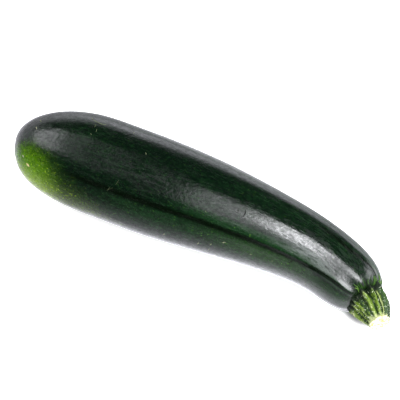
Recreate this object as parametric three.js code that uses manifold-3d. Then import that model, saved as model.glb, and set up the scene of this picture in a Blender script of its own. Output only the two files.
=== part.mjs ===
// A courgette lying on its side: one young, bent fruit and the cut stub of its ribbed stalk.
// Millimetres, +Z up, resting on z = 0. The blossom end is at -X, the stalk at +X and bent towards -Y.
// Both pieces follow one spine. "along" is the distance on the spine from the blossom tip, and "around"
// is the angle about it: 0 faces +Y, 90 faces up and 180 faces -Y.
import * as THREE from "three";
import { mergeVertices } from "three/addons/utils/BufferGeometryUtils.js";
import Module from "manifold-3d";

// Driving dimensions of the fruit: lengths in millimetres, angles in degrees.
const FRUIT_LENGTH = 192.3; // on the spine, from the blossom tip to the seat of the stalk
const BELLY_RADIUS = 24.45; // the fat half, towards the blossom
const NECK_RADIUS = 14.7; // where the taper towards the stalk would end
const TAPER_FROM = 64; // the taper's two ends along the spine
const TAPER_TO = 203;
const NOSE_LENGTH = 45.2; // the rounded blossom end
const NOSE_BLUNTNESS = 0.4; // 0.5 is an ellipse, less is blunter
const SHOULDER_LENGTH = 22; // the rounding under the stalk
const SHOULDER_POWER = 3; // how slowly the rounding sets in
const SEAT_SHARE = 0.42; // the flat under the stalk, as a share of the neck
const SCAR_RADIUS = 3; // the corky blossom scar: a low rim round a dimple
const SCAR_RIM_HEIGHT = 0.15;
const SCAR_DIMPLE_DEPTH = 0.8;
const SCAR_EDGE = 0.25; // along the spine, where the smooth skin starts

// The spine starts at the blossom tip. Its heading in plan turns from +X towards +Y. The height of the
// start lets the belly and the underside of the neck lie on z = 0, both flattened a little.
const SPINE_START = [-99.65, -14.35, 25.95];
const HEADING = 4.6; // over the straight middle
const NOSE_TURN = 29.9; // more than that at the blossom tip, gone after NOSE_TURN_LENGTH
const NOSE_TURN_LENGTH = 58;
const NECK_TURN = -34.4; // reached at the seat of the stalk, starting at NECK_TURN_FROM
const NECK_TURN_FROM = 132.6;
const STALK_TURN = -23.2; // further turn over the stalk's own length

// How the spine climbs: down over the nose, level over the belly, down again over the arched neck, and
// from there steadily upwards to the end of the stalk.
const NOSE_SLOPE = -2.74; // at the blossom tip, gone after NOSE_SLOPE_LENGTH
const NOSE_SLOPE_LENGTH = 80;
const ARCH_SLOPE = -11.75; // reached at ARCH_TO, starting at ARCH_FROM
const ARCH_FROM = 93.5;
const ARCH_TO = 172;
const LEVELLING = 19.7; // the climb regained between ARCH_TO and the end of the stalk

// The creases that run down from the stalk between the lobes. Each turns from its angle on the body to its
// angle at the seat, between two places along the fruit. It is deepest at the seat and e times shallower
// at each fade length from it. Before and after are the half widths in degrees on its two sides.
const CREASES = [
  { body: 78, seat: 42, from: 170, to: 202, depth: 1.1, before: 4.5, after: 30, fade: 30 },
  { body: 148.5, seat: 139.5, from: 150, to: 184, depth: 0.5, before: 2.5, after: 2, fade: 100 },
  { body: 218, seat: 214, from: 150, to: 192, depth: 1.3, before: 5.5, after: 5.5, fade: 36 },
  { body: 286, seat: 286, from: 150, to: 192, depth: 1.3, before: 5.5, after: 5.5, fade: 36 },
  { body: 355, seat: 350, from: 150, to: 192, depth: 1.3, before: 5.5, after: 5.5, fade: 36 },
];
// Soft ridges and valleys on the lobes. Each rises by this much at the seat, on a bell curve of this half
// width in degrees.
const SWELLS = [
  { body: 99, seat: 88, from: 160, to: 196, rise: -0.2, width: 8 },
  { body: 120, seat: 118, from: 156, to: 182, rise: -0.5, width: 8 },
  { body: 145, seat: 138.5, from: 162, to: 182, rise: 1.3, width: 5 },
  { body: 183, seat: 178, from: 150, to: 192, rise: -0.4, width: 10 },
  { body: 252, seat: 250, from: 150, to: 192, rise: -0.5, width: 10 },
  { body: 320, seat: 320, from: 150, to: 192, rise: -0.5, width: 10 },
  { body: 30, seat: 20, from: 150, to: 192, rise: -0.5, width: 10 },
];
const SWELL_FADE = 36;

// Driving dimensions of the stalk. Its crests and its valleys each narrow on a curve of their own.
const STALK_LENGTH = 16;
const CUT_SLANT = 1.4; // how much longer the stalk is on the side where the slanting cut leaves it longest
const CUT_SLANT_SIDE = 165; // the angle of that side
const STALK_ROOT = 3; // how far it is drawn back into the shoulder before it is cut to fit
const CREST_BASE_RADIUS = 9.9;
const CREST_CUT_RADIUS = 4.7;
const CREST_CURVE = 1.9;
const VALLEY_BASE_RADIUS = 6;
const VALLEY_CUT_RADIUS = 4.3;
const VALLEY_CURVE = 2;
const CUT_FACE_DISH = 0.7;
// The ribs: angle, share of the way from valley to crest, and half width in degrees.
const RIBS = [
  { around: 48, share: 1, width: 14 },
  { around: 84, share: 0.75, width: 10 },
  { around: 112, share: 0.9, width: 11 },
  { around: 138, share: 0.6, width: 12 },
  { around: 152, share: 0.9, width: 7 },
  { around: 168, share: 0.8, width: 6 },
  { around: 197, share: 1.08, width: 14 },
  { around: 230, share: 0.85, width: 11 },
  { around: 262, share: 1, width: 13 },
  { around: 298, share: 0.7, width: 10 },
  { around: 332, share: 1, width: 13 },
  { around: 12, share: 0.7, width: 10 },
];

const CLEARANCE = 0.3; // between the stalk and the fruit

// How finely the surfaces are divided.
const SPINE_STEP = 0.5;
const FRUIT_SIDES = 90;
const NOSE_RINGS = 11;
const BODY_RINGS = 25;
const SHOULDER_RINGS = 10;
const STALK_SIDES = 72;
const STALK_RINGS = 9;

const { clamp, lerp, smoothstep, degToRad, radToDeg } = THREE.MathUtils;

// The radius before either end is rounded.
function bodyRadius(along) {
  return BELLY_RADIUS - (BELLY_RADIUS - NECK_RADIUS) * smoothstep(along, TAPER_FROM, TAPER_TO);
}

function fruitRadius(along) {
  const nose = clamp(along / NOSE_LENGTH, 0, 1);
  const shoulder = clamp((FRUIT_LENGTH - along) / SHOULDER_LENGTH, 0, 1);
  const noseShare = (1 - (1 - nose) ** 2) ** NOSE_BLUNTNESS;
  const shoulderShare = SEAT_SHARE + (1 - SEAT_SHARE) * Math.sqrt(1 - (1 - shoulder) ** SHOULDER_POWER);
  return bodyRadius(along) * noseShare * shoulderShare;
}

// The spine's heading in plan, in radians.
function headingAt(along) {
  const nose = clamp(1 - along / NOSE_TURN_LENGTH, 0, 1);
  const neck = clamp((along - NECK_TURN_FROM) / (FRUIT_LENGTH - NECK_TURN_FROM), 0, 1);
  const stalk = clamp((along - FRUIT_LENGTH) / STALK_LENGTH, 0, 1);
  return degToRad(HEADING + NOSE_TURN * nose ** 2 + NECK_TURN * neck ** 2 + STALK_TURN * stalk);
}

// How steeply the spine climbs, in radians.
function slopeAt(along) {
  const nose = clamp(1 - along / NOSE_SLOPE_LENGTH, 0, 1);
  const arch = clamp((along - ARCH_FROM) / (ARCH_TO - ARCH_FROM), 0, 1);
  const end = clamp((along - ARCH_TO) / (FRUIT_LENGTH + STALK_LENGTH - ARCH_TO), 0, 1);
  return degToRad(NOSE_SLOPE * nose + ARCH_SLOPE * arch + LEVELLING * end);
}

// The spine's own direction, the level one across it and the one upwards across it.
function directionsAt(along) {
  const turned = new THREE.Euler(0, -slopeAt(along), headingAt(along), "ZYX");
  return [new THREE.Vector3(1, 0, 0), new THREE.Vector3(0, 1, 0), new THREE.Vector3(0, 0, 1)].map((axis) =>
    axis.applyEuler(turned),
  );
}

// The spine, walked from the blossom tip in short steps.
const spine = [new THREE.Vector3(...SPINE_START)];
for (let along = 0; along < FRUIT_LENGTH + STALK_LENGTH; along += SPINE_STEP) {
  const [forward] = directionsAt(along + SPINE_STEP / 2);
  spine.push(forward.multiplyScalar(SPINE_STEP).add(spine.at(-1)));
}

// The spine's point in space. Before the tip and after the last step it runs on straight.
function spineAt(along) {
  const steps = along / SPINE_STEP;
  const from = clamp(Math.floor(steps), 0, spine.length - 2);
  return new THREE.Vector3().lerpVectors(spine[from], spine[from + 1], steps - from);
}

// From direction b round to direction a, between -180 and 180 degrees.
function turnBetween(a, b) {
  return ((((a - b + 180) % 360) + 360) % 360) - 180;
}

// How far an angle is past the line of a crease or a swell, in degrees.
function turnPast(line, along, around) {
  return turnBetween(around, lerp(line.body, line.seat, smoothstep(along, line.from, line.to)));
}

// How far the skin stands out from the plain radius: down in the creases, up on the lobes between them,
// so that the girth stays the same.
function lobeHeight(along, around) {
  const beforeSeat = Math.max(FRUIT_LENGTH - along, 0);
  let height = 0;
  for (const crease of CREASES) {
    const turn = turnPast(crease, along, around);
    const width = turn < 0 ? crease.before : crease.after;
    const mean = (crease.before + crease.after) / 360;
    const share = mean - Math.exp(-Math.abs(turn) / width);
    height += crease.depth * share * Math.exp(-beforeSeat / crease.fade);
  }
  for (const swell of SWELLS) {
    const turn = turnPast(swell, along, around);
    const mean = (swell.width * Math.sqrt(2 * Math.PI)) / 360;
    const share = Math.exp(-((turn / swell.width) ** 2) / 2) - mean;
    height += swell.rise * share * Math.exp(-beforeSeat / SWELL_FADE);
  }
  return height;
}

// Turns a straight lathe about Y into a piece on the spine: each vertex keeps its distance from the axis,
// plus what relief gives, and its height, plus what shift gives, becomes its place along the spine.
function onSpine(profile, sides, relief, shift = () => 0) {
  const lathe = new THREE.LatheGeometry(profile, sides);
  lathe.deleteAttribute("normal");
  lathe.deleteAttribute("uv");
  const geometry = mergeVertices(lathe, 1e-4);
  const position = geometry.getAttribute("position");
  for (let i = 0; i < position.count; i++) {
    const along = position.getY(i);
    const angle = Math.atan2(position.getX(i), position.getZ(i));
    const plainRadius = Math.hypot(position.getX(i), position.getZ(i));
    const around = (radToDeg(angle) + 360) % 360;
    const radius = plainRadius + relief(along, around, plainRadius);
    const shifted = along + shift(along, around, plainRadius);
    const [, across, upward] = directionsAt(shifted);
    const place = spineAt(shifted);
    place.addScaledVector(across, radius * Math.cos(angle));
    place.addScaledVector(upward, radius * Math.sin(angle));
    position.setXYZ(i, place.x, place.y, place.z);
  }
  return geometry;
}

// The fruit's outline from the dimple in the scar, over the nose, the body and the shoulder to the seat.
function fruitProfile(clearance) {
  const points = [
    new THREE.Vector2(0, SCAR_DIMPLE_DEPTH),
    new THREE.Vector2(0.4 * SCAR_RADIUS, 0.75 * SCAR_DIMPLE_DEPTH),
    new THREE.Vector2(0.7 * SCAR_RADIUS, -SCAR_RIM_HEIGHT),
    new THREE.Vector2(0.9 * SCAR_RADIUS, -SCAR_RIM_HEIGHT),
    new THREE.Vector2(SCAR_RADIUS, 0),
  ];
  const shoulderFrom = FRUIT_LENGTH - SHOULDER_LENGTH;
  const ring = (along) => points.push(new THREE.Vector2(fruitRadius(along) + clearance, along));
  for (let i = 0; i < NOSE_RINGS; i++) {
    ring(lerp(SCAR_EDGE, NOSE_LENGTH, (i / NOSE_RINGS) ** 2));
  }
  for (let i = 0; i < BODY_RINGS; i++) {
    ring(lerp(NOSE_LENGTH, shoulderFrom, i / BODY_RINGS));
  }
  for (let i = 0; i <= SHOULDER_RINGS; i++) {
    ring(FRUIT_LENGTH - SHOULDER_LENGTH * (1 - i / SHOULDER_RINGS) ** 2);
  }
  if (clearance > 0) points.push(new THREE.Vector2(points.at(-1).x, FRUIT_LENGTH + clearance));
  points.push(new THREE.Vector2(0, FRUIT_LENGTH + clearance));
  return points;
}

// The fruit, or with a clearance the slightly larger form that the stalk has to stay out of.
function fruitGeometry(clearance) {
  const seatRadius = SEAT_SHARE * NECK_RADIUS;
  const relief = (along, around, plainRadius) =>
    lobeHeight(along, around) * Math.min(plainRadius / seatRadius, 1);
  return onSpine(fruitProfile(clearance), FRUIT_SIDES, relief);
}

// The stalk's radius in its valleys and over its crests, at a distance from the seat.
function valleyRadius(out) {
  return lerp(VALLEY_BASE_RADIUS, VALLEY_CUT_RADIUS, clamp(out / STALK_LENGTH, 0, 1) ** VALLEY_CURVE);
}

function crestRadius(out) {
  return lerp(CREST_BASE_RADIUS, CREST_CUT_RADIUS, clamp(out / STALK_LENGTH, 0, 1) ** CREST_CURVE);
}

// How far the ribs stand out from the valleys. On the cut face it shrinks towards the middle.
function ribHeight(along, around, plainRadius) {
  const out = along - FRUIT_LENGTH;
  let share = 0;
  for (const rib of RIBS) {
    share = Math.max(share, rib.share * Math.exp(-((turnBetween(around, rib.around) / rib.width) ** 2)));
  }
  return (share * (crestRadius(out) - valleyRadius(out)) * plainRadius) / valleyRadius(out);
}

// How far the slanting cut carries the stalk's rings along: not at all at the seat, fully at the cut's rim,
// and less towards the middle of the cut face.
function cutShift(along, around, plainRadius) {
  const outShare = clamp((along - FRUIT_LENGTH) / STALK_LENGTH, 0, 1);
  const faceShare = Math.min(plainRadius / VALLEY_CUT_RADIUS, 1);
  return outShare * faceShare * CUT_SLANT * Math.cos(degToRad(around - CUT_SLANT_SIDE));
}

function stalkGeometry() {
  const end = FRUIT_LENGTH + STALK_LENGTH;
  const root = FRUIT_LENGTH - STALK_ROOT;
  const points = [new THREE.Vector2(0, root), new THREE.Vector2(VALLEY_BASE_RADIUS, root)];
  for (let i = 0; i <= STALK_RINGS; i++) {
    const out = (STALK_LENGTH * i) / STALK_RINGS;
    points.push(new THREE.Vector2(valleyRadius(out), FRUIT_LENGTH + out));
  }
  points.push(new THREE.Vector2(0.6 * VALLEY_CUT_RADIUS, end - CUT_FACE_DISH / 2));
  points.push(new THREE.Vector2(0, end - CUT_FACE_DISH));
  return onSpine(points, STALK_SIDES, ribHeight, cutShift);
}

const wasm = await Module();
wasm.setup();

function toSolid(geometry) {
  const vertProperties = new Float32Array(geometry.getAttribute("position").array);
  const triVerts = new Uint32Array(geometry.index.array);
  return new wasm.Manifold(new wasm.Mesh({ numProp: 3, vertProperties, triVerts }));
}

function toGeometry(solid) {
  const mesh = solid.getMesh();
  const geometry = new THREE.BufferGeometry();
  geometry.setAttribute("position", new THREE.BufferAttribute(mesh.vertProperties, 3));
  geometry.setIndex(new THREE.BufferAttribute(mesh.triVerts, 1));
  geometry.computeVertexNormals();
  return geometry;
}

// Everything below the surface it lies on: a block larger than the fruit.
function ground() {
  const side = 2 * FRUIT_LENGTH;
  const box = new THREE.BoxGeometry(side, side, BELLY_RADIUS);
  box.translate(0, 0, -BELLY_RADIUS / 2);
  box.deleteAttribute("normal");
  box.deleteAttribute("uv");
  return toSolid(mergeVertices(box));
}

const fruitMaterial = new THREE.MeshStandardMaterial({ color: 0x16270f, roughness: 0.35, metalness: 0 });
const stalkMaterial = new THREE.MeshStandardMaterial({ color: 0x7da03c, roughness: 0.7, metalness: 0 });

const fruit = new THREE.Mesh(toGeometry(toSolid(fruitGeometry(0)).subtract(ground())), fruitMaterial);
fruit.name = "fruit";

const stalk = new THREE.Mesh(
  toGeometry(toSolid(stalkGeometry()).subtract(toSolid(fruitGeometry(CLEARANCE)))),
  stalkMaterial,
);
stalk.name = "stalk";

const courgette = new THREE.Group();
courgette.add(fruit, stalk);

export default courgette;
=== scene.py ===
"""The looks of the courgette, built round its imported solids.

Every piece is worked out in millimetres on one spine, as the solids are. "along" is the distance on the
spine from the blossom tip and "around" is the angle about it in degrees: 0 faces +Y, 90 faces up and 180
faces -Y. Every mesh keeps its straightened coordinates (along, sideways, upwards) in the attribute
"straight", which the materials' patterns read, so that they run with the grain of the fruit.
"""

import math

import bpy
import numpy as np
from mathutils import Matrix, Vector


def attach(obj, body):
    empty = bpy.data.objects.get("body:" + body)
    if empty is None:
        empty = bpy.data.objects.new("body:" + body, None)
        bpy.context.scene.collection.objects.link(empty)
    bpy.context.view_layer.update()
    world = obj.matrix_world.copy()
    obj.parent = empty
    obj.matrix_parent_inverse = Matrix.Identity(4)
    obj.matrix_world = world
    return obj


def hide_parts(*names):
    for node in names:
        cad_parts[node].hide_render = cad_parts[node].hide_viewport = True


MM = 0.001

# The fruit's form: lengths in millimetres, angles in degrees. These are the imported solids' own values,
# apart from the second crease.
FRUIT_LENGTH = 192.3
BELLY_RADIUS = 24.45
NECK_RADIUS = 14.7
TAPER_FROM, TAPER_TO = 64, 203
NOSE_LENGTH = 45.2
NOSE_BLUNTNESS = 0.4
SHOULDER_LENGTH, SHOULDER_POWER = 22, 3
SEAT_SHARE = 0.42
SEAT_RADIUS = SEAT_SHARE * NECK_RADIUS
SCAR_RADIUS = 3
SCAR_RIM_HEIGHT = 0.15
SCAR_DIMPLE_DEPTH = 0.8
SCAR_EDGE = 0.25

# The spine starts at the blossom tip. It bends in plan at the nose, the neck and the stalk. It comes down
# over the nose to the belly, arches and comes down again to the neck, and levels off to the stalk.
SPINE_START = (-99.65, -14.35, 25.95)
HEADING = 4.6
NOSE_TURN, NOSE_TURN_LENGTH = 29.9, 58
NECK_TURN, NECK_TURN_FROM = -34.4, 132.6
STALK_TURN = -23.2
NOSE_SLOPE, NOSE_SLOPE_LENGTH = -2.74, 80
ARCH_SLOPE, ARCH_FROM, ARCH_TO = -11.75, 93.5, 172
LEVELLING = 19.7

# The creases between the lobes: the angle on the body and the angle at the seat, between which places along
# the fruit it turns, the depth at the seat, the half width in degrees before and after, and the length
# over which the crease fades away from the seat. The second one fades sooner than in the solids and has a
# gentler lower side, because the gloss would show the sharp one too strongly.
CREASES = [
    (78, 42, 170, 202, 1.1, 4.5, 30, 30),
    (148.5, 139.5, 150, 184, 0.5, 2.5, 7, 50),
    (218, 214, 150, 192, 1.3, 5.5, 5.5, 36),
    (286, 286, 150, 192, 1.3, 5.5, 5.5, 36),
    (355, 350, 150, 192, 1.3, 5.5, 5.5, 36),
]
# Soft ridges and valleys on the lobes: the same angles and places, the height at the seat and the half
# width in degrees. They all fade alike.
SWELLS = [
    (99, 88, 160, 196, -0.2, 8),
    (120, 118, 156, 182, -0.5, 8),
    (145, 138.5, 162, 182, 1.3, 5),
    (183, 178, 150, 192, -0.4, 10),
    (252, 250, 150, 192, -0.5, 10),
    (320, 320, 150, 192, -0.5, 10),
    (30, 20, 150, 192, -0.5, 10),
]
SWELL_FADE = 36

STALK_LENGTH = 16
# How far the stalk's foot is sunk into the fruit.
STALK_SUNK = 3
# The knife went through at a slant: the stalk is longer by this on the side at this angle.
CUT_SLANT, CUT_SLANT_SIDE = 1.4, 165
CREST_BASE_RADIUS, CREST_CUT_RADIUS, CREST_CURVE = 9.9, 4.7, 1.9
VALLEY_BASE_RADIUS, VALLEY_CUT_RADIUS, VALLEY_CURVE = 6, 4.3, 2
CUT_FACE_DISH = 0.7
# Each rib's angle, its share of the way from valley to crest, its half width in degrees, and how pale its
# crest is. The rib at 197 faces down towards the table, and its paleness is painted light from it.
RIBS = [
    (48, 1, 14, 0.15), (84, 0.75, 10, 0.75), (112, 0.9, 11, 0.85), (138, 0.6, 12, 0.3), (152, 0.9, 7, 0.9),
    (168, 0.8, 6, 0.8), (197, 1.08, 14, 0.95), (230, 0.85, 11, 0.6), (262, 1, 13, 0.6), (298, 0.7, 10, 0.5),
    (332, 1, 13, 0.6), (12, 0.7, 10, 0.4),
]
# The pale line along the shoulder of the broad rib beside the right flank.
PALE_LINE, PALE_LINE_WIDTH, PALE_LINE_STRENGTH = 62, 2, 1.5

# How rough the stalk is: the heights of its fibres, its finer fibres and its warts, how ragged the knife
# left its end, and how uneven its cut face is.
FIBRE_HEIGHT, FINE_FIBRE_HEIGHT, WART_HEIGHT = 0.28, 0.2, 0.22
CUT_RAGGEDNESS, CUT_UNEVENNESS = 0.4, 0.25
# The short stiff hairs on the stalk: how many there are, the shortest and the longest, the thinnest and the
# thickest foot, how deep the feet are sunk, how far the hairs lean towards the cut as a share of their
# length and how much that varies, and how much they vary sideways in degrees.
BRISTLES = 600
BRISTLE_LENGTHS = 0.5, 1.2
BRISTLE_FEET = 0.14, 0.26
BRISTLE_FOOT_DEPTH = 0.3
BRISTLE_LEAN, BRISTLE_LEAN_SPREAD, BRISTLE_TWIST_SPREAD = 0.35, 0.3, 4
# The spikes of the stalk's frayed root: how many there are and between which angles, how far from the seat
# they start, how far from it the shortest one ends and how much further the longest one reaches, and the
# least and greatest half widths and heights.
ROOT_SPIKES = 44
ROOT_SPIKES_FROM, ROOT_SPIKES_TO = 20, 125
ROOT_SPIKE_START, ROOT_SPIKE_SHORTEST, ROOT_SPIKE_REACH = 0.4, 1, 3.5
ROOT_SPIKE_WIDTHS, ROOT_SPIKE_HEIGHTS = (0.12, 0.26), (0.15, 0.3)

# How finely the visible surfaces are divided.
SPINE_STEP = 0.5
# From each angle on the fruit to the next, the step between its sides: finer about the two upper creases.
FRUIT_SIDES = [(0, 40, 1.5), (40, 85, 0.75), (85, 128, 1.25), (128, 160, 0.6), (160, 360, 1.5)]
NOSE_RINGS, BODY_RINGS, SHOULDER_RINGS = 60, 150, 60
STALK_SIDES = 432
STALK_RINGS, CUT_RINGS = 110, 12
STALK_SHARP_ANGLE = 50
STRIP_STATIONS, STRIP_SIDES = 10, 8

# Linear colours.
DARK_GREEN = (0.0006, 0.0035, 0.0014)
PALE_GREEN = (0.0045, 0.02, 0.0055)
# Painted light on the lobe that faces -Y.
LIT_LOBE_GREEN = (0.0045, 0.023, 0.0015)
# Painted sheen, the grey skirt of the highlight below the ridge.
SHEEN_GREY = (0.066, 0.08, 0.07)
FLECK_GREEN = (0.07, 0.17, 0.02)
# The painted shade in the creases.
CREASE_SHADE_GREEN = (0.0005, 0.002, 0.0004)
PATCH_GREEN = (0.072, 0.18, 0.001)
PATCH_YELLOW = (0.33, 0.48, 0.012)
PATCH_SHADE = (0.004, 0.025, 0.001)
RIPE_DOT = (0.36, 0.52, 0.03)
# Painted shade round the stalk's root.
ROOT_SHADE_GREEN = (0.003, 0.009, 0.002)
GROOVE_GREEN = (0.006, 0.024, 0.002)
FLANK_GREEN = (0.02, 0.055, 0.008)
RIB_GREEN = (0.1, 0.165, 0.01)
CREST_GREEN = (0.36, 0.4, 0.18)
WART_GREEN = (0.24, 0.3, 0.2)
PITH = (0.66, 0.66, 0.5)
PITH_THREAD = (0.3, 0.33, 0.04)
BRISTLE_TONES = [(0.003, 0.006, 0.003), (0.12, 0.15, 0.08), (0.55, 0.6, 0.45)]
SPIKE_TONES = [(0.002, 0.007, 0.001), (0.015, 0.05, 0.004), (0.1, 0.2, 0.03)]
MARK_TONES = [(0.0008, 0.001, 0.0008), (0.1, 0.12, 0.06), (0.3, 0.3, 0.2), (0.5, 0.4, 0.2)]
LAMP_TINT = (1, 1, 1.04)
SURROUND_TINT = (1, 1, 1.08)
TABLE_WHITE = (0.85, 0.85, 0.86)
TABLE_SHADE = (0.1, 0.1, 0.12)

# The paler stripes of the skin: angle, half width in degrees, where it fades in along the fruit, strength.
PALE_STRIPES = [
    (90, 14, 85, 125, 0.1), (140, 10, 80, 125, 1), (162, 14, 30, 90, 0.7), (175, 18, 20, 50, 0.4),
    (205, 18, 20, 50, 0.4), (240, 18, 20, 60, 0.7), (270, 16, 20, 60, 0.6), (310, 18, 20, 60, 0.7),
    (340, 12, 20, 60, 0.6), (15, 18, 20, 60, 0.7), (50, 16, 20, 60, 0.5),
]
# The core of each stripe, as a share of its half width.
STRIPE_CORE = 0.3
# Painted light: the paler green along the lobe that faces -Y, for the light it catches there: its middle,
# the half widths of its core and of the whole in degrees, and where along the fruit it comes in and fades.
LOBE_CENTRE, LOBE_CORE, LOBE_HALF_WIDTH = 163, 6, 18
LOBE_IN, LOBE_OUT = (95, 140), (150, 172)
# Painted sheen: the grey skirt of the highlight below the ridge on the upper lobe, likewise.
SHEEN_CENTRE, SHEEN_CORE, SHEEN_HALF_WIDTH = 131, 2, 13
SHEEN_IN, SHEEN_OUT = (132, 160), (165, 184)
# The pale patch at the blossom end: how far it runs, its middle and its half width in degrees, between
# which angles it turns yellow, and where along the fruit its green darkens.
PATCH_LENGTH, PATCH_CENTRE, PATCH_HALF_WIDTH = 62, 195, 84
PATCH_YELLOWS, PATCH_DARKENS = (150, 215), (6, 38)
# How strongly the waxy skin bends light.
SKIN_IOR = 1.4
# The creases' dark lines, which are painted shade in the creases: where along the fruit each one starts,
# over what length it comes in, and the half widths of its core and of the whole in degrees.
DARK_LINES_FROM = [145, 25, 25, 25, 25]
DARK_LINE_IN, DARK_LINE_CORE, DARK_LINE_HALF_WIDTH = 25, 1.2, 5.5
# Painted shade round the stalk's root: how far before the seat the skin starts to turn black and how far
# before it is black, at the furthest, and how much nearer the seat its ragged edge may lie.
ROOT_EDGE_FROM, ROOT_EDGE_TO, ROOT_EDGE_FRAY = 5.5, 3.5, 5

# The camera: degrees to the right of -Y and upwards, metres, and millimetres of lens and sensor.
CAMERA_AZIMUTH, CAMERA_ELEVATION, CAMERA_DISTANCE = 30, 50, 0.9
CAMERA_TARGET = (-0.00705, 0.00745, 0.0202)
CAMERA_LENS, CAMERA_SENSOR = 167.01, 36

# The lamps: name, place, the point it faces and size, in metres, and radiance.
LAMPS = [
    ("overhead_panel", (0.96, -0.26, 0.9), (0.96, -0.26, 0), (1.5, 0.42), 22),
    ("overhead_fringe", (0.9, -0.68, 0.9), (0.9, -0.68, 0), (1.4, 0.42), 1.2),
    ("overhead_tail", (0.07, -0.55, 0.9), (0.07, -0.55, 0), (0.3, 1.0), 2.3),
    ("left_window", (-1.3, -0.22, 0.9), (-1.3, -0.22, 0), (1.15, 1.0), 2.5),
    ("left_fringe", (-1.05, -0.3, 0.91), (-1.05, -0.3, 0), (1.4, 1.1), 0.7),
    ("right_window", (1.0, 0.70, 0.45), (0, 0, 0.02), (0.8, 0.6), 7),
]

# The surround: its strength low down and what it has everywhere, between which heights it fades out and
# how much lower that is to the east, and the ramps that its strength is multiplied by: the axis of the
# direction, from, to, and the factors there.
SURROUND_STRENGTH, SURROUND_BASE = 1.5, 0.03
SURROUND_TOP, SURROUND_SLANT = (0.06, 0.44), 0.15
SURROUND_SIDES = [
    ("north", -0.5, -0.1, 0, 1),
    ("east", -0.85, -0.35, 0.5, 1),
    ("east", -0.05, 0.2, 1.05, 2.2),
]

# The glow of the table that the fruit mirrors, as ramps that are multiplied: the axis, from and to in
# metres, and the factors there. In front of the fruit it rises towards it by a power of such a ramp.
TABLE_HALF_SIZE = 4.0
GLOW_FRONT_RISE, GLOW_FRONT_POWER = (-0.16, -0.01), 3.5
GLOW_FRONT_FAR, GLOW_FRONT_GAIN = 0.15, 1.25
GLOW_FRONT_SIDES = (-0.09, 0.07, 0.5, 1.15)
GLOW_NEAR = [
    ("north", -0.035, -0.006, 0, 1),
    ("east", -0.115, -0.085, 0.2, 0.8),
    ("east", -0.01, 0.1, 1, 2.6),
]
GLOW_ASIDE = [
    ("north", -0.3, -0.15, 0, 1),
    ("north", -0.1, -0.05, 1, 0),
    ("east", -0.01, 0.05, 0, 0.95),
]
GLOW_BEHIND = [
    ("east", -0.1, -0.05, 0.55, 0.95),
    ("east", -0.02, 0.05, 1, 0.7),
    ("east", 0.04, 0.09, 1, 1.7),
    ("north", 0.045, 0.1, 1.7, 1.0),
    ("north", 0.3, 0.6, 1, 1.4),
]
# Where the glow in front gives way to the glow behind.
GLOW_DIVIDE = (-0.01, 0.03)
# What the camera sees of the table: how much it glows in the shadow and how much more in the open.
TABLE_GLOW_SHADE, TABLE_GLOW_GAIN = 0.05, 0.75
# The shadow under the stalk's root, on the table, in metres and degrees.
SHADOW_EAST, SHADOW_NORTH, SHADOW_HEADING = 0.0845, 0.0002, -15
SHADOW_LENGTH, SHADOW_WIDTH = 0.013, 0.008

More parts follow.
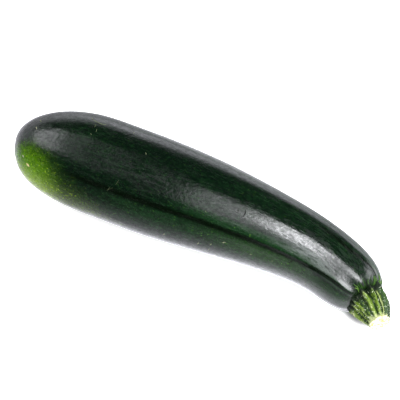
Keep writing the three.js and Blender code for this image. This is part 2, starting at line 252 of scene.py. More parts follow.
# Marks on the skin: tone from dark 0 to cream 1, half width and height in millimetres, and the path along
# and around the fruit.
MARKS = [
    (0.7, 0.4, 0.12, [(4.7, 143), (5.1, 147)]), (1.0, 0.5, 0.15, [(7.2, 157), (9.2, 160)]),
    (0.6, 0.22, 0.1, [(10.9, 90), (11.5, 94.5)]), (0.35, 0.19, 0.08, [(12, 74), (13, 81)]),
    (0.3, 0.18, 0.1, [(36.5, 70), (38.3, 72.8), (40.5, 74.5), (42.6, 75.3), (44, 73)]),
    (0.3, 0.16, 0.1, [(35.5, 66.5), (36.8, 71)]), (0.25, 0.1, 0.06, [(39.8, 79), (40.2, 85)]),
    (0.25, 0.1, 0.06, [(41.6, 85), (42.1, 90)]), (0.4, 0.15, 0.08, [(40, 94.5), (40.6, 96)]),
    (0.25, 0.08, 0.06, [(58.6, 151), (59.6, 146.5)]), (0.2, 0.06, 0.06, [(60.2, 148), (61.2, 144.5)]),
    (0.2, 0.06, 0.06, [(62.2, 141), (63.2, 134.5)]), (0.0, 0.4, 0.06, [(72.8, 129.5), (73.3, 134)]),
    (0.0, 0.3, 0.06, [(74.8, 139), (75.4, 142)]),
    (0.0, 0.22, 0.08, [(123.8, 114), (124.3, 118), (124, 123)]),
    (0.05, 0.18, 0.06, [(120.6, 116.5), (121.2, 120)]),
    (0.35, 0.13, 0.06, [(107.2, 133.5), (107.8, 135.5)]),
    (0.5, 0.2, 0.08, [(118.8, 167.5), (120.2, 165)]), (0.45, 0.15, 0.06, [(113.2, 179), (113.9, 175)]),
    (0.5, 0.17, 0.08, [(106.8, 185), (107.6, 181)]), (0.55, 0.19, 0.08, [(89.3, 187), (90.1, 184)]),
    (0.45, 0.17, 0.08, [(112.4, 190), (113, 187)]), (0.4, 0.17, 0.08, [(132.6, 171.5), (133.4, 170)]),
    (0.4, 0.15, 0.08, [(143.5, 168.5), (144.4, 166.5)]), (0.05, 0.28, 0.08, [(152, 158.5), (153.3, 151)]),
    (0.05, 0.2, 0.06, [(39, 83), (39.3, 87)]), (0.05, 0.25, 0.06, [(30.6, 103), (31, 106)]),
    (0.25, 0.1, 0.06, [(47, 163), (49, 165.5)]), (0.25, 0.1, 0.06, [(38.5, 172), (40.5, 171)]),
    (0.25, 0.1, 0.06, [(54.4, 176), (55.8, 173)]), (0.25, 0.1, 0.06, [(63, 179), (64.6, 177.5)]),
    (0.25, 0.1, 0.06, [(38, 182), (39.6, 179)]), (0.4, 0.12, 0.06, [(169.8, 111.5), (170.2, 113)]),
    (0.35, 0.12, 0.06, [(168.6, 107), (169, 108.5)]), (0.4, 0.15, 0.08, [(69.6, 93), (70.4, 95.5)]),
    (0.35, 0.15, 0.08, [(58, 68), (58.4, 71)]), (0.4, 0.15, 0.08, [(164.2, 184), (164.8, 181)]),
    (0.4, 0.17, 0.08, [(99, 215), (101, 219)]), (0.05, 0.3, 0.08, [(64, 250), (66, 262)]),
    (0.4, 0.17, 0.08, [(80, 300), (83, 304)]), (0.35, 0.19, 0.08, [(120, 330), (124, 333)]),
    (0.35, 0.19, 0.08, [(50, 345), (52, 352), (53, 356)]), (0.45, 0.22, 0.1, [(30, 20), (31, 24)]),
    (0.4, 0.17, 0.08, [(95, 30), (97, 34)]), (0.0, 0.25, 0.08, [(140, 25), (140.6, 32)]),
]


# ---------------------------------------------------------------- form

def share(value, low, high):
    """How far value has come from low to high, from 0 to 1."""
    return np.clip((value - low) / (high - low), 0, 1)


def smooth_share(value, low, high):
    """The same, starting and ending gently."""
    part = share(value, low, high)
    return part * part * (3 - 2 * part)


def body_radius(along):
    return BELLY_RADIUS - (BELLY_RADIUS - NECK_RADIUS) * smooth_share(along, TAPER_FROM, TAPER_TO)


def fruit_radius(along):
    nose = share(along, 0, NOSE_LENGTH)
    shoulder = share(FRUIT_LENGTH - along, 0, SHOULDER_LENGTH)
    nose_share = (1 - (1 - nose) ** 2) ** NOSE_BLUNTNESS
    shoulder_share = SEAT_SHARE + (1 - SEAT_SHARE) * np.sqrt(1 - (1 - shoulder) ** SHOULDER_POWER)
    return body_radius(along) * nose_share * shoulder_share


def heading_at(along):
    """The spine's heading in plan, in radians."""
    nose = 1 - share(along, 0, NOSE_TURN_LENGTH)
    neck = share(along, NECK_TURN_FROM, FRUIT_LENGTH)
    stalk = share(along, FRUIT_LENGTH, FRUIT_LENGTH + STALK_LENGTH)
    return np.radians(HEADING + NOSE_TURN * nose**2 + NECK_TURN * neck**2 + STALK_TURN * stalk)


def slope_at(along):
    """How steeply the spine climbs, in radians."""
    nose = 1 - share(along, 0, NOSE_SLOPE_LENGTH)
    arch = share(along, ARCH_FROM, ARCH_TO)
    end = share(along, ARCH_TO, FRUIT_LENGTH + STALK_LENGTH)
    return np.radians(NOSE_SLOPE * nose + ARCH_SLOPE * arch + LEVELLING * end)


def directions(along):
    """The spine's own direction, the level one across it and the one upwards across it."""
    heading, slope = heading_at(along), slope_at(along)
    east, north, level = np.cos(heading), np.sin(heading), np.zeros_like(heading)
    forward = np.stack([np.cos(slope) * east, np.cos(slope) * north, np.sin(slope)], -1)
    across = np.stack([-north, east, level], -1)
    upward = np.stack([-np.sin(slope) * east, -np.sin(slope) * north, np.cos(slope)], -1)
    return forward, across, upward


SPINE_ALONG = np.arange(0, FRUIT_LENGTH + STALK_LENGTH + 8 * SPINE_STEP, SPINE_STEP)


def walk_spine():
    steps = SPINE_STEP * directions(SPINE_ALONG[:-1] + SPINE_STEP / 2)[0]
    return np.vstack([SPINE_START, SPINE_START + np.cumsum(steps, 0)])


SPINE = walk_spine()


def spine_at(along):
    # The scar's rim lies before the tip, where the spine runs on straight.
    before = np.minimum(along, 0)[..., None] * directions(0.0)[0]
    return np.stack([np.interp(along, SPINE_ALONG, SPINE[:, i]) for i in range(3)], -1) + before


def turn_between(a, b):
    """From b round to a, between -180 and 180 degrees."""
    return (a - b + 180) % 360 - 180


def angle_between(a, b):
    return np.abs(turn_between(a, b))


def turned_angle(body, seat, turn_from, turn_to, along):
    return body + (seat - body) * smooth_share(along, turn_from, turn_to)


def lobe_height(along, around):
    """How far the skin stands out from the plain radius, on the lobes, or in, in the creases."""
    height = 0
    before_seat = np.maximum(FRUIT_LENGTH - along, 0)
    for *path, depth, before, after, fade in CREASES:
        turn = turn_between(around, turned_angle(*path, along))
        width = np.where(turn < 0, before, after)
        # A crease's floor is rounded over one degree.
        crease = (before + after) / 360 - np.exp(-(np.sqrt(turn**2 + 1) - 1) / width)
        height = height + depth * crease * np.exp(-before_seat / fade)
    for *path, rise, width in SWELLS:
        turn = turn_between(around, turned_angle(*path, along))
        mean = width * math.sqrt(2 * math.pi) / 360
        swell = np.exp(-0.5 * (turn / width) ** 2) - mean
        height = height + rise * swell * np.exp(-before_seat / SWELL_FADE)
    return height


def place(along, around, radius):
    """Points in space, in millimetres, and the same points with the spine straightened."""
    along, around, radius = np.broadcast_arrays(along, around, radius)
    angle = np.radians(around)
    sideways, upwards = radius * np.cos(angle), radius * np.sin(angle)
    _, across, upward = directions(along)
    points = spine_at(along) + sideways[..., None] * across + upwards[..., None] * upward
    return points, np.stack([along, sideways, upwards], -1)


# ---------------------------------------------------------------- meshes

def ring_faces(rings, sides):
    """Quads between closed rings of points, with the first and last ring closed to a fan at a pole.
    The poles are the two points after all rings."""
    index = np.arange(rings * sides).reshape(rings, sides)
    after = np.roll(index, -1, 1)
    quads = np.stack([index[:-1], after[:-1], after[1:], index[1:]], -1).reshape(-1, 4)
    first, last = rings * sides, rings * sides + 1
    fans = [(first, after[0, i], index[0, i]) for i in range(sides)]
    fans += [(last, index[-1, i], after[-1, i]) for i in range(sides)]
    return quads.tolist() + [tuple(int(v) for v in fan) for fan in fans]


def add_mesh(name, points, straight, faces, material, values=None):
    """A smooth mesh from points in millimetres. values are further attributes, one number a point."""
    mesh = bpy.data.meshes.new(name)
    mesh.from_pydata((points * MM).tolist(), [], faces)
    mesh.attributes.new("straight", "FLOAT_VECTOR", "POINT").data.foreach_set(
        "vector", straight.astype(np.float32).ravel()
    )
    for key, numbers in (values or {}).items():
        mesh.attributes.new(key, "FLOAT", "POINT").data.foreach_set("value", numbers.astype(np.float32))
    mesh.shade_smooth()
    mesh.materials.append(material)
    piece = bpy.data.objects.new(name, mesh)
    bpy.context.scene.collection.objects.link(piece)
    return piece


def skin_profile():
    """along and plain radius, from the scar's dimple and low rim to the seat of the stalk."""
    scar = [
        (0.7 * SCAR_DIMPLE_DEPTH, 0.45 * SCAR_RADIUS),
        (0, 0.65 * SCAR_RADIUS),
        (-SCAR_RIM_HEIGHT, 0.8 * SCAR_RADIUS),
        (-0.5 * SCAR_RIM_HEIGHT, 0.93 * SCAR_RADIUS),
        (0.3 * SCAR_EDGE, SCAR_RADIUS),
    ]
    nose = SCAR_EDGE + (NOSE_LENGTH - SCAR_EDGE) * np.linspace(0, 1, NOSE_RINGS, endpoint=False) ** 2
    shoulder_from = FRUIT_LENGTH - SHOULDER_LENGTH
    body = np.linspace(NOSE_LENGTH, shoulder_from, BODY_RINGS, endpoint=False)
    shoulder = FRUIT_LENGTH - SHOULDER_LENGTH * (1 - np.linspace(0, 1, SHOULDER_RINGS)) ** 2
    along = np.concatenate([nose, body, shoulder])
    skin = np.stack([along, fruit_radius(along)], 1)
    return np.vstack([scar, skin, [(FRUIT_LENGTH, 0.5 * SEAT_RADIUS)]])


def lobed(plain, along, around):
    """The radius with its lobes and creases, which fade out where the fruit is narrower than the seat."""
    return plain + lobe_height(along, around) * np.minimum(plain / SEAT_RADIUS, 1)


def skin_place(along, around):
    return place(along, around, lobed(fruit_radius(along), along, around))


def make_skin(material):
    profile = skin_profile()
    along, plain = profile[:, :1], profile[:, 1:]
    around = np.concatenate([
        np.arange(start, stop - 0.5 * step, step) for start, stop, step in FRUIT_SIDES
    ])
    points, straight = place(along, around, lobed(plain, along, around))
    poles, straight_poles = place(np.array([SCAR_DIMPLE_DEPTH, FRUIT_LENGTH]), 0, 0)
    points = np.vstack([points.reshape(-1, 3), poles])
    straight = np.vstack([straight.reshape(-1, 3), straight_poles])
    # The two slight flats that it rests on.
    points[:, 2] = np.maximum(points[:, 2], 0)
    return add_mesh("skin", points, straight, ring_faces(len(profile), len(around)), material)


def narrowing(out, base, cut, curve):
    """A radius of the stalk, from its base to its cut. "out" is the distance from the seat."""
    return base + (cut - base) * share(out, 0, STALK_LENGTH) ** curve


def rough_field(seed, rows, columns, shape):
    """Smooth random numbers about 0 on a grid of rings, closed round the ring."""
    lattice = np.random.default_rng(seed).uniform(-1, 1, (rows + 1, columns))
    down = np.linspace(0, rows - 1e-6, shape[0])
    across = np.arange(shape[1]) * (columns / shape[1])
    row, column = down.astype(int), across.astype(int)
    down = smooth_share(down - row, 0, 1)[:, None]
    across = smooth_share(across - column, 0, 1)[None, :]
    after = (column + 1) % columns
    upper = lattice[row][:, column] * (1 - across) + lattice[row][:, after] * across
    lower = lattice[row + 1][:, column] * (1 - across) + lattice[row + 1][:, after] * across
    return upper * (1 - down) + lower * down


def rib_shape(around):
    """How far the ribs take the stalk from valley to crest, as a share, and how pale they are there."""
    rib, pale = 0, 0
    for centre, height, width, paleness in RIBS:
        apart = angle_between(around, centre)
        rib = np.maximum(rib, height * np.exp(-((apart / width) ** 2)))
        pale = np.maximum(pale, paleness * np.exp(-((apart / (0.95 * width)) ** 2)))
    line = np.exp(-((angle_between(around, PALE_LINE) / PALE_LINE_WIDTH) ** 2))
    return rib, np.maximum(pale, PALE_LINE_STRENGTH * line)


def stalk_radius(out, rib):
    valley = narrowing(out, VALLEY_BASE_RADIUS, VALLEY_CUT_RADIUS, VALLEY_CURVE)
    crest = narrowing(out, CREST_BASE_RADIUS, CREST_CUT_RADIUS, CREST_CURVE)
    return valley + rib * (crest - valley)


def make_stalk(material):
    around = np.arange(STALK_SIDES) * (360 / STALK_SIDES)
    rib, pale = rib_shape(around)
    shape = (STALK_RINGS, STALK_SIDES)
    end = STALK_LENGTH + CUT_SLANT * np.cos(np.radians(around - CUT_SLANT_SIDE))
    fine = rough_field(seed=21, rows=1, columns=60, shape=shape)[0]
    coarse = rough_field(seed=22, rows=1, columns=17, shape=shape)[0]
    end += CUT_RAGGEDNESS * fine + CUT_RAGGEDNESS * coarse
    out = -STALK_SUNK + (end + STALK_SUNK) * np.linspace(0, 1, STALK_RINGS)[:, None]
    fibres = FIBRE_HEIGHT * rough_field(seed=23, rows=5, columns=75, shape=shape)
    fibres = fibres + FINE_FIBRE_HEIGHT * rough_field(seed=24, rows=14, columns=110, shape=shape)
    warts = WART_HEIGHT * np.maximum(rough_field(seed=25, rows=34, columns=96, shape=shape), 0)
    radius = stalk_radius(out, rib) + fibres + warts
    # The rings of the cut face, as shares of its radius from the rim inwards.
    face = np.linspace(0.9, 0.1, CUT_RINGS)[:, None]
    cut_out = STALK_LENGTH + (end - STALK_LENGTH) * face - CUT_FACE_DISH * (1 - face**2)
    uneven = rough_field(seed=26, rows=6, columns=30, shape=(CUT_RINGS, STALK_SIDES))
    cut_out += CUT_UNEVENNESS * uneven
    along = FRUIT_LENGTH + np.vstack([out, cut_out])
    radius = np.vstack([radius, radius[-1] * face])
    points, straight = place(along, around, radius)
    ends = np.array([FRUIT_LENGTH - STALK_SUNK, FRUIT_LENGTH + STALK_LENGTH - CUT_FACE_DISH])
    poles, straight_poles = place(ends, 0, 0)
    points = np.vstack([points.reshape(-1, 3), poles])
    straight = np.vstack([straight.reshape(-1, 3), straight_poles])
    rings = len(along)
    is_cut = np.append(np.repeat(np.arange(rings) >= STALK_RINGS - 1, STALK_SIDES), [False, True])
    values = {
        "rib": np.append(np.tile(rib, (rings, 1)).ravel(), [0, 0]),
        "pale": np.append(np.tile(pale, (rings, 1)).ravel(), [0, 0]),
        "cut": is_cut.astype(float),
    }
    piece = add_mesh("stalk_stub", points, straight, ring_faces(rings, STALK_SIDES), material, values)
    piece.data.set_sharp_from_angle(angle=math.radians(STALK_SHARP_ANGLE))
    return piece


def make_bristles(material):
    """Short stiff hairs on the stalk: slender closed pyramids with their feet in it."""
    rng = np.random.default_rng(31)
    around = rng.uniform(0, 360, BRISTLES)
    out = rng.uniform(1, STALK_LENGTH - 1.5, BRISTLES)
    rib, _ = rib_shape(around)
    radius = stalk_radius(out, rib)
    length, foot = rng.uniform(*BRISTLE_LENGTHS, BRISTLES), rng.uniform(*BRISTLE_FEET, BRISTLES)
    lean = rng.normal(BRISTLE_LEAN, BRISTLE_LEAN_SPREAD, BRISTLES)
    twist = rng.normal(0, BRISTLE_TWIST_SPREAD, BRISTLES)
    corners = []
    for turn in (0, 120, 240):
        shift = np.cos(np.radians(turn)), np.degrees(np.sin(np.radians(turn)) / radius)
        corners.append((out + foot * shift[0], around + foot * shift[1], radius - BRISTLE_FOOT_DEPTH))
    corners.append((out + length * lean, around + twist, radius + length))
    out, around, radius = (np.stack(part, -1) for part in zip(*corners))
    points, straight = place(FRUIT_LENGTH + out, around, radius)
    points, straight = points.reshape(-1, 3), straight.reshape(-1, 3)
    faces = []
    for i in range(BRISTLES):
        a, b, c, tip = range(4 * i, 4 * i + 4)
        faces += [(b, a, tip), (c, b, tip), (a, c, tip), (a, b, c)]
    pale = np.repeat(rng.choice([0, 0.5, 1], BRISTLES), 4)
    return add_mesh("stalk_bristles", points, straight, faces, material, {"pale": pale})


def strip(path, half_width, height):
    """A low closed ridge that lies on the skin along a path of (along, around), thin at both ends."""
    path = np.array(path, float)
    where = np.linspace(0, 1, len(path))
    part = np.linspace(0, 1, STRIP_STATIONS)
    along, around = np.interp(part, where, path[:, 0]), np.interp(part, where, path[:, 1])
    middle, straight = skin_place(along, around)
    ahead = np.gradient(middle, axis=0)
    ahead /= np.linalg.norm(ahead, axis=1, keepdims=True)
    # The skin's own direction outwards, from a small step each way on it.
    step = 0.05
    outward = np.cross(
        skin_place(along, around + step)[0] - middle, skin_place(along + step, around)[0] - middle
    )
    outward /= np.linalg.norm(outward, axis=1, keepdims=True)
    beside = np.cross(outward, ahead)
    swell = np.sqrt(np.sin(math.pi * (0.06 + 0.88 * part)))[:, None, None]
    turn = np.radians(np.arange(STRIP_SIDES) * (360 / STRIP_SIDES))[None, :, None]
    rings = middle[:, None] + swell * (
        half_width * np.cos(turn) * beside[:, None] + height * np.sin(turn) * outward[:, None]
    )
    tip = 0.3 * half_width
    points = np.vstack([
        rings.reshape(-1, 3), middle[:1] - tip * ahead[:1], middle[-1:] + tip * ahead[-1:]
    ])
    straight = np.vstack([np.repeat(straight, STRIP_SIDES, 0), straight[:1], straight[-1:]])
    return points, straight, ring_faces(STRIP_STATIONS, STRIP_SIDES)


def add_strips(name, strips, material):
    """One piece from (tone, half width, height, path) of each strip."""
    points, straight, faces, tones = [], [], [], []
    first = 0
    for tone, half_width, height, path in strips:
        made, laid, quads = strip(path, half_width, height)
        points.append(made)
        straight.append(laid)
        faces += [tuple(first + i for i in face) for face in quads]
        tones.append(np.full(len(made), float(tone)))
        first += len(made)
    values = {"tone": np.concatenate(tones)}
    return add_mesh(name, np.vstack(points), np.vstack(straight), faces, material, values)


def root_spikes():
    """The frayed root of the stalk: narrow toes that run out over the fruit's shoulder."""
    rng = np.random.default_rng(41)
    start = FRUIT_LENGTH - ROOT_SPIKE_START
    spikes = []
    for i in range(ROOT_SPIKES):
        turn = (i + rng.uniform(-0.4, 0.4)) * (ROOT_SPIKES_TO - ROOT_SPIKES_FROM) / ROOT_SPIKES
        around = ROOT_SPIKES_FROM + turn
        end = FRUIT_LENGTH - ROOT_SPIKE_SHORTEST - ROOT_SPIKE_REACH * rng.uniform(0, 1) ** 1.5
        bend = rng.uniform(-5, 5)
        path = [(start, around), (0.5 * (end + start), around + bend), (end, around)]
        tone = rng.uniform(0, 1) ** 2
        spikes.append((tone, rng.uniform(*ROOT_SPIKE_WIDTHS), rng.uniform(*ROOT_SPIKE_HEIGHTS), path))
    return spikes


# ---------------------------------------------------------------- materials

class Shader:
    """The nodes of a material or a world, added by calls that take and return sockets.
    A plain number may stand for a socket."""

    def __init__(self, owner, surface="Principled BSDF"):
        owner.use_nodes = True
        self.owner = owner
        self.tree = owner.node_tree
        self.surface = self.tree.nodes[surface]

    def node(self, kind, inputs=None, **settings):
        """A new node, with its inputs set or linked by name or number."""
        made = self.tree.nodes.new(kind)
        for key, value in settings.items():
            setattr(made, key, value)
        for key, value in (inputs or {}).items():
            self.put(made.inputs[key], value)
        return made

    def put(self, socket, value):
        if isinstance(value, bpy.types.NodeSocket):
            self.tree.links.new(value, socket)
        elif value is not None:
            socket.default_value = value

    def dress(self, inputs):
        """Gives the surface its inputs and returns the material or world."""
        for key, value in inputs.items():
            self.put(self.surface.inputs[key], value)
        return self.owner

    def math(self, operation, a, b=None, c=None):
        return self.node("ShaderNodeMath", {0: a, 1: b, 2: c}, operation=operation).outputs[0]

    def product(self, first, *others):
        """All the values multiplied together."""
        for other in others:
            first = self.math("MULTIPLY", first, other)
        return first

    def apart(self, value, centre):
        """How far value is from centre, either way."""
        return self.math("ABSOLUTE", self.math("SUBTRACT", value, centre))

    def ramp(self, value, low, high, to_low=0.0, to_high=1.0):
        """value carried smoothly from low..high to to_low..to_high, and held outside."""
        inputs = {"Value": value, "From Min": low, "From Max": high, "To Min": to_low, "To Max": to_high}
        return self.node("ShaderNodeMapRange", inputs, interpolation_type="SMOOTHSTEP").outputs[0]

    def ramps(self, axes, rows):
        """The product of ramps, each given as the name of its axis and the ramp's four numbers."""
        return self.product(*(self.ramp(axes[axis], *numbers) for axis, *numbers in rows))

    def band(self, value, centre, core, half_width):
        """1 in the core about centre, falling smoothly to 0 at the half width."""
        return self.ramp(self.apart(value, centre), core, half_width, 1, 0)

    def mix(self, part, a, b):
        """Colour a where part is 0 and colour b where it is 1."""
        a, b = (c if isinstance(c, bpy.types.NodeSocket) else (*c, 1) for c in (a, b))
        return self.node("ShaderNodeMix", {0: part, 6: a, 7: b}, data_type="RGBA").outputs[2]

    def axes(self, vector):
        """The three parts of a vector."""
        return self.node("ShaderNodeSeparateXYZ", {0: vector}).outputs

    def attribute(self, name, output="Fac"):
        """One of the mesh's own attributes, as a number unless output says otherwise."""
        return self.node("ShaderNodeAttribute", attribute_name=name).outputs[output]

    def stretched(self, vector, grain):
        """vector with its steps along the grain made shorter, so that a pattern comes out longer."""
        scale = {0: vector, 1: (1 / grain, 1, 1)}
        return self.node("ShaderNodeVectorMath", scale, operation="MULTIPLY").outputs[0]

    def noise(self, vector, size, grain=1.0, detail=2.0, rough=0.5, seed=0.0):
        """Noise with features of about size millimetres, grain times as long."""
        inputs = {
            "Vector": self.stretched(vector, grain), "W": seed, "Scale": 1 / size,
            "Detail": detail, "Roughness": rough,
        }
        return self.node("ShaderNodeTexNoise", inputs, noise_dimensions="4D").outputs["Fac"]

    def spots(self, vector, size, edge, chance, grain=1.0, seed=0.0):
        """Scattered spots on cells of about size millimetres, grain times as long. edge is where a spot
        starts to fade and where it ends, in cells. chance is the random number above which a cell has a
        spot, and the one above which the spot is full."""
        inputs = {"Vector": self.stretched(vector, grain), "W": seed, "Scale": 1 / size}
        cells = self.node("ShaderNodeTexVoronoi", inputs, voronoi_dimensions="4D").outputs
        drawn = self.node("ShaderNodeSeparateColor", {0: cells["Color"]}).outputs[0]
        return self.product(self.ramp(cells["Distance"], *edge, 1, 0), self.ramp(drawn, *chance))

    def bump(self, height_mm):
        return self.node("ShaderNodeBump", {"Height": height_mm, "Distance": MM}).outputs[0]


def skin_coordinates(shader):
    vector = shader.attribute("straight", "Vector")
    along, sideways, upwards = shader.axes(vector)
    turn = shader.math("DEGREES", shader.math("ARCTAN2", upwards, sideways))
    around = shader.math("FLOORED_MODULO", turn, 360)
    return vector, along, around


def mottled_green(shader, vector, along, around):
    """Dark green in paler and darker stripes, with fine pale flecks that lie along the grain."""
    cloud = shader.noise(vector, 16, grain=2.5, detail=2, seed=1.3)
    mottle = shader.noise(vector, 1.1, grain=2.2, detail=3, rough=0.75, seed=2.1)
    stripes = 0.0
    for centre, half_width, low, high, strength in PALE_STRIPES:
        stripe = shader.band(around, centre, STRIPE_CORE * half_width, half_width)
        stripe = shader.product(stripe, shader.ramp(along, low, high), strength)
        stripes = shader.math("MAXIMUM", stripes, stripe)
    tone = shader.math("ADD", shader.product(cloud, 0.3), shader.product(mottle, 0.9))
    tone = shader.math("MULTIPLY_ADD", stripes, 0.3, tone)
    green = shader.mix(shader.ramp(tone, 0.5, 0.95), DARK_GREEN, PALE_GREEN)
    # Painted light: the lobe that faces -Y is painted paler green.
    lit_lobe = shader.product(
        shader.band(around, LOBE_CENTRE, LOBE_CORE, LOBE_HALF_WIDTH),
        shader.ramp(along, *LOBE_IN),
        shader.ramp(along, *LOBE_OUT, 1, 0.3),
        shader.ramp(mottle, 0.3, 0.6, 0.3, 1),
    )
    green = shader.mix(lit_lobe, green, LIT_LOBE_GREEN)
    fleck = shader.spots(vector, 0.62, edge=(0.18, 0.38), chance=(0.6, 0.95), grain=2.5, seed=4)
    fleck = shader.product(fleck, shader.math("MULTIPLY_ADD", stripes, 0.5, 0.12))
    return shader.mix(fleck, green, FLECK_GREEN)


def with_patch(shader, green, vector, along, around):
    """green with the yellow-green patch at the blossom end: speckled, dotted and ragged at its edge."""
    off_along = shader.math("DIVIDE", along, PATCH_LENGTH)
    off_around = shader.apart(around, PATCH_CENTRE)
    reach = shader.math("MULTIPLY_ADD", off_around, 1 / PATCH_HALF_WIDTH, off_along)
    ragged = shader.noise(vector, 2.5, grain=1.5, detail=4, rough=0.7, seed=5)
    ragged = shader.math("MULTIPLY_ADD", ragged, 0.6, -0.3)
    patch = shader.ramp(shader.math("ADD", reach, ragged), 0.6, 1.25, 1, 0)
    ripe = shader.mix(shader.ramp(around, *PATCH_YELLOWS), PATCH_GREEN, PATCH_YELLOW)
    ripe = shader.mix(shader.ramp(along, *PATCH_DARKENS, 0, 0.85), ripe, DARK_GREEN)
    speckle = shader.noise(vector, 0.6, grain=1.3, detail=3, rough=0.75, seed=6)
    shaded = shader.mix(0.85, ripe, PATCH_SHADE)
    ripe = shader.mix(shader.ramp(speckle, 0.36, 0.56), shaded, ripe)
    dots = shader.spots(vector, 0.85, edge=(0.2, 0.45), chance=(0.45, 0.8), grain=1.3, seed=6.5)
    ripe = shader.mix(shader.product(dots, 0.6), ripe, RIPE_DOT)
    return shader.mix(patch, green, ripe)


def with_painted_sheen(shader, green, vector, along, around):
    """green with a painted sheen, the grey skirt of the highlight below the ridge, broken in streaks."""
    sheen = shader.product(
        shader.band(around, SHEEN_CENTRE, SHEEN_CORE, SHEEN_HALF_WIDTH),
        shader.ramp(along, *SHEEN_IN),
        shader.ramp(along, *SHEEN_OUT, 1, 0),
    )
    sheen_breaks = shader.noise(vector, 1.2, grain=5, detail=4, rough=0.8, seed=16)
    return shader.mix(shader.product(sheen, shader.ramp(sheen_breaks, 0.38, 0.6)), green, SHEEN_GREY)


def painted_crease_shade(shader, along, around):
    """Painted shade: the dark lines in the creases, also where these have run out as dents."""
    crease_shade = 0.0
    for (body, seat, turn_from, turn_to, *_), start in zip(CREASES, DARK_LINES_FROM):
        centre = shader.ramp(along, turn_from, turn_to, body, seat)
        line = shader.band(around, centre, DARK_LINE_CORE, DARK_LINE_HALF_WIDTH)
        line = shader.product(line, shader.ramp(along, start, start + DARK_LINE_IN, 0, 0.9))
        crease_shade = shader.math("MAXIMUM", crease_shade, line)
    return crease_shade


def with_root_shade(shader, green, vector, along):
    """green with painted shade round the stalk's root: nearly black there, with a ragged edge."""
    frayed = shader.noise(vector, 1.3, grain=4, detail=2, seed=15)
    edge = shader.math("MULTIPLY_ADD", frayed, -ROOT_EDGE_FRAY, along)
    root = shader.ramp(edge, FRUIT_LENGTH - ROOT_EDGE_FROM, FRUIT_LENGTH - ROOT_EDGE_TO)
    return shader.mix(root, green, ROOT_SHADE_GREEN)


def skin_gloss(shader, vector, along, crease_shade):
    """The roughness and the coat, both broken by the wax on the skin. The crease lines of painted shade
    have little coat.
    """
    waxy = shader.ramp(shader.noise(vector, 1.3, grain=5, detail=4, rough=0.8, seed=7), 0.36, 0.64)
    roughness = shader.math("MULTIPLY_ADD", waxy, 0.22, shader.ramp(along, 130, 165, 0.1, 0.16))
    broken = shader.noise(vector, 0.9, grain=1.8, detail=4, rough=0.8, seed=7.5)
    coat = shader.product(
        shader.math("SUBTRACT", 1, crease_shade),
        shader.ramp(along, 160, 175, 0.5, 0.12),
        shader.ramp(broken, 0.36, 0.64, 0.1, 1.9),
    )
    return roughness, coat


def skin_relief(shader, vector, along):
    """Fine peel all over, soft lumps, mostly on the thicker half, and streaks, mostly on the neck."""
    peel = shader.noise(vector, 1.4, grain=1.2, detail=3, rough=0.65, seed=8)
    lumps = shader.noise(vector, 5, grain=3, detail=2, seed=9)
    streaks = shader.noise(vector, 1.6, grain=8, detail=2, seed=10)
    height = shader.product(peel, shader.ramp(along, 20, 150, 0.12, 0.09))
    height = shader.math("MULTIPLY_ADD", lumps, shader.ramp(along, 60, 110, 0.15, 0.05), height)
    height = shader.math("MULTIPLY_ADD", streaks, shader.ramp(along, 120, 150, 0.03, 0.09), height)
    return shader.bump(height)


def skin_material():
    shader = Shader(bpy.data.materials.new("skin"))
    vector, along, around = skin_coordinates(shader)
    crease_shade = painted_crease_shade(shader, along, around)
    green = mottled_green(shader, vector, along, around)
    green = with_patch(shader, green, vector, along, around)
    # Painted sheen below the ridge on the upper lobe.
    green = with_painted_sheen(shader, green, vector, along, around)
    # Painted shade along the creases.
    green = shader.mix(crease_shade, green, CREASE_SHADE_GREEN)
    green = with_root_shade(shader, green, vector, along)
    roughness, coat = skin_gloss(shader, vector, along, crease_shade)
    normal = skin_relief(shader, vector, along)
    return shader.dress({
        "Base Color": green,
        "Roughness": roughness,
        "IOR": SKIN_IOR,
        "Normal": normal,
        "Coat Weight": coat,
        "Coat Roughness": 0.14,
        "Coat IOR": SKIN_IOR,
        "Coat Normal": normal,
    })


def stalk_green(shader, vector, out, rib, pale, wart):
    """Dark grooves and flanks, blotched, with paler crests and pale warts. The root is painted nearly black
    with shade, which runs out raggedly up the grooves. Near the cut the green goes pale."""
    fibre = shader.noise(vector, 0.9, grain=4, detail=3, rough=0.7, seed=11)
    blotch = shader.noise(vector, 1.2, grain=1.5, detail=3, rough=0.75, seed=11.5)
    tone = shader.math("MULTIPLY_ADD", blotch, 1.7, shader.math("MULTIPLY_ADD", fibre, 1.6, -1.65))
    green = shader.mix(shader.ramp(shader.math("ADD", tone, rib), 0.2, 1), GROOVE_GREEN, FLANK_GREEN)
    lit = shader.math("MULTIPLY_ADD", tone, 1.2, pale)
    green = shader.mix(shader.ramp(lit, 0.35, 0.6), green, RIB_GREEN)
    green = shader.mix(shader.ramp(lit, 0.9, 1.3), green, CREST_GREEN)
    green = shader.mix(shader.product(wart, 0.85), green, WART_GREEN)
    # Painted shade at the stalk's root, running out up the grooves.
    edge = shader.math("MULTIPLY_ADD", rib, -2, shader.product(fibre, 6))
    root = shader.ramp(shader.math("SUBTRACT", out, edge), -0.5, 2.2, 1, 0)
    green = shader.mix(root, green, ROOT_SHADE_GREEN)
    faded = shader.math("MULTIPLY_ADD", tone, 2.5, out)
    return shader.mix(shader.ramp(faded, STALK_LENGTH - 2, STALK_LENGTH + 0.6), green, CREST_GREEN)


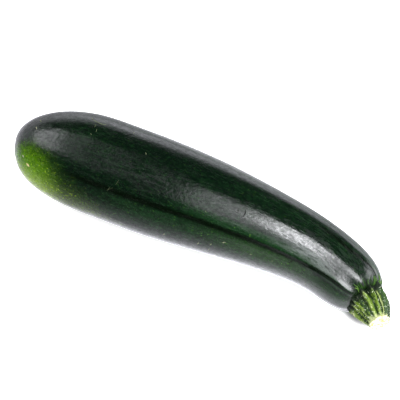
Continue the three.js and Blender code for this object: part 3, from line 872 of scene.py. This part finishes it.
def stalk_material():
    shader = Shader(bpy.data.materials.new("stalk"))
    vector, along, _ = skin_coordinates(shader)
    rib, pale, cut = (shader.attribute(name) for name in ("rib", "pale", "cut"))
    out = shader.math("SUBTRACT", along, FRUIT_LENGTH)
    wart = shader.spots(vector, 0.9, edge=(0.22, 0.4), chance=(0.62, 0.7), grain=1.3, seed=12)
    green = stalk_green(shader, vector, out, rib, pale, wart)
    # The cut face is cream with a few yellow-green threads.
    thread = shader.ramp(shader.noise(vector, 1.1, detail=3, rough=0.75, seed=13), 0.46, 0.58)
    pith = shader.mix(thread, PITH, PITH_THREAD)
    grain = shader.noise(vector, 0.6, grain=3, detail=3, seed=14)
    height = shader.math("MULTIPLY_ADD", wart, 0.1, shader.product(grain, 0.2))
    return shader.dress({
        "Base Color": shader.mix(cut, green, pith),
        "Roughness": 0.5,
        "Specular IOR Level": 0.35,
        "Normal": shader.bump(height),
    })


def toned_material(name, attribute, tones):
    """Colours picked by an attribute that runs from 0 to 1, with the tones evenly spaced on it."""
    shader = Shader(bpy.data.materials.new(name))
    where = shader.attribute(attribute)
    colour = tones[0]
    for i, tone in enumerate(tones[1:]):
        low = i / (len(tones) - 1)
        colour = shader.mix(shader.ramp(where, low, low + 1 / (len(tones) - 1)), colour, tone)
    return shader.dress({"Base Color": colour, "Roughness": 0.6, "Specular IOR Level": 0.1})


# ---------------------------------------------------------------- studio

def make_camera():
    """Looks at the fruit from the photograph's angle, through a long lens."""
    azimuth, elevation = math.radians(CAMERA_AZIMUTH), math.radians(CAMERA_ELEVATION)
    level = math.cos(elevation)
    back = Vector((math.sin(azimuth) * level, -math.cos(azimuth) * level, math.sin(elevation)))
    data = bpy.data.cameras.new("camera")
    data.lens = CAMERA_LENS
    data.sensor_width = CAMERA_SENSOR
    camera = bpy.data.objects.new("camera", data)
    camera.location = Vector(CAMERA_TARGET) + back * CAMERA_DISTANCE
    camera.rotation_euler = back.to_track_quat("Z", "Y").to_euler()
    bpy.context.scene.collection.objects.link(camera)
    bpy.context.scene.camera = camera


def make_lamp(name, centre, aim, size, radiance):
    """A rectangular softbox."""
    data = bpy.data.lights.new(name, "AREA")
    data.shape = "RECTANGLE"
    data.size, data.size_y = size
    data.energy = radiance * math.pi * size[0] * size[1]
    data.color = LAMP_TINT
    lamp = bpy.data.objects.new(name, data)
    lamp.location = centre
    lamp.rotation_euler = (Vector(centre) - Vector(aim)).to_track_quat("Z", "Y").to_euler()
    bpy.context.scene.collection.objects.link(lamp)


def make_world():
    """A white surround low down on all sides but the camera's, and near darkness above it."""
    shader = Shader(bpy.data.worlds.new("surround"), "Background")
    east, north, up = shader.axes(shader.node("ShaderNodeTexCoord").outputs["Generated"])
    low = shader.ramp(shader.math("MULTIPLY_ADD", east, SURROUND_SLANT, up), *SURROUND_TOP, 1, 0)
    sides = shader.ramps({"east": east, "north": north}, SURROUND_SIDES)
    strength = shader.math("ADD", shader.product(low, sides, SURROUND_STRENGTH), SURROUND_BASE)
    bpy.context.scene.world = shader.dress({"Color": (*SURROUND_TINT, 1), "Strength": strength})


def mirrored_glow(shader, east, north):
    """How brightly the fruit mirrors the table: less than the camera sees, and less from further off."""
    axes = {"east": east, "north": north}
    front = shader.math("POWER", shader.ramp(north, *GLOW_FRONT_RISE), GLOW_FRONT_POWER)
    front = shader.math("MULTIPLY_ADD", front, GLOW_FRONT_GAIN, GLOW_FRONT_FAR)
    front = shader.product(front, shader.ramp(east, *GLOW_FRONT_SIDES))
    front = shader.math("ADD", front, shader.ramps(axes, GLOW_NEAR))
    front = shader.math("ADD", front, shader.ramps(axes, GLOW_ASIDE))
    beyond_front = shader.math("SUBTRACT", shader.ramps(axes, GLOW_BEHIND), front)
    return shader.math("ADD", front, shader.product(shader.ramp(north, *GLOW_DIVIDE), beyond_front))


def out_of_shadow(shader, east, north):
    """0 in the middle of the shadow under the stalk's root, and 1 on the open table."""
    over = shader.math("SUBTRACT", east, SHADOW_EAST)
    beyond = shader.math("SUBTRACT", north, SHADOW_NORTH)
    lean = math.radians(SHADOW_HEADING)
    squares = []
    for across, up, size in (
        (math.cos(lean), math.sin(lean), SHADOW_LENGTH), (-math.sin(lean), math.cos(lean), SHADOW_WIDTH),
    ):
        off = shader.math("MULTIPLY_ADD", over, across, shader.product(beyond, up))
        off = shader.math("ABSOLUTE", shader.math("DIVIDE", off, size))
        squares.append(shader.math("POWER", off, 2))
    return shader.ramp(shader.math("ADD", *squares), 0.1, 1)


def make_floor():
    """A glowing white table, which the gloss mirrors with a glow of its own."""
    half = TABLE_HALF_SIZE
    mesh = bpy.data.meshes.new("floor")
    corners = [(-half, -half, 0), (half, -half, 0), (half, half, 0), (-half, half, 0)]
    mesh.from_pydata(corners, [], [(0, 1, 2, 3)])
    floor = bpy.data.objects.new("floor", mesh)
    bpy.context.scene.collection.objects.link(floor)
    shader = Shader(bpy.data.materials.new("floor"))
    east, north, _ = shader.axes(shader.node("ShaderNodeNewGeometry").outputs["Position"])
    lit = out_of_shadow(shader, east, north)
    mesh.materials.append(shader.dress({
        "Base Color": shader.mix(lit, TABLE_SHADE, TABLE_WHITE),
        "Roughness": 0.9,
        "Specular IOR Level": 0,
        "Emission Color": (1, 1, 1, 1),
        "Emission Strength": shader.math("MULTIPLY_ADD", lit, TABLE_GLOW_GAIN, TABLE_GLOW_SHADE),
    }))
    glow = mirrored_glow(shader, east, north)
    mirrored = shader.node("ShaderNodeEmission", {"Color": (*SURROUND_TINT, 1), "Strength": glow})
    is_mirrored = shader.node("ShaderNodeLightPath").outputs["Is Glossy Ray"]
    shades = {0: is_mirrored, 1: shader.surface.outputs[0], 2: mirrored.outputs[0]}
    seen = shader.node("ShaderNodeMixShader", shades)
    shader.put(shader.tree.nodes["Material Output"].inputs["Surface"], seen.outputs[0])


# ---------------------------------------------------------------- scene

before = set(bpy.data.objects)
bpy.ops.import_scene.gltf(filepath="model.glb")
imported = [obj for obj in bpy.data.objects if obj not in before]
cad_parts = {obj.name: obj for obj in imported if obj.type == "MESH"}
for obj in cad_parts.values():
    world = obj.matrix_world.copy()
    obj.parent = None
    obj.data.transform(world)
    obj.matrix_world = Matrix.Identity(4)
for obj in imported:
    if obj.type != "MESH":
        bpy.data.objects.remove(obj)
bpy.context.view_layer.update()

skin = make_skin(skin_material())
stalk = make_stalk(stalk_material())
for piece, node, slot in ((skin, "fruit", "skin"), (stalk, "stalk", "stalk")):
    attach(piece, "root")
    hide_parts(node)

bristles = make_bristles(toned_material("bristle", "pale", BRISTLE_TONES))
spikes = add_strips("root_spikes", root_spikes(), toned_material("spike", "tone", SPIKE_TONES))
marks = add_strips("skin_marks", MARKS, toned_material("mark", "tone", MARK_TONES))
for piece, slot in ((bristles, "stalk"), (spikes, "stalk"), (marks, "skin")):
    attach(piece, "root")

make_floor()
make_world()
make_camera()
for lamp in LAMPS:
    make_lamp(*lamp)
bpy.context.scene.view_settings.view_transform = "Standard"
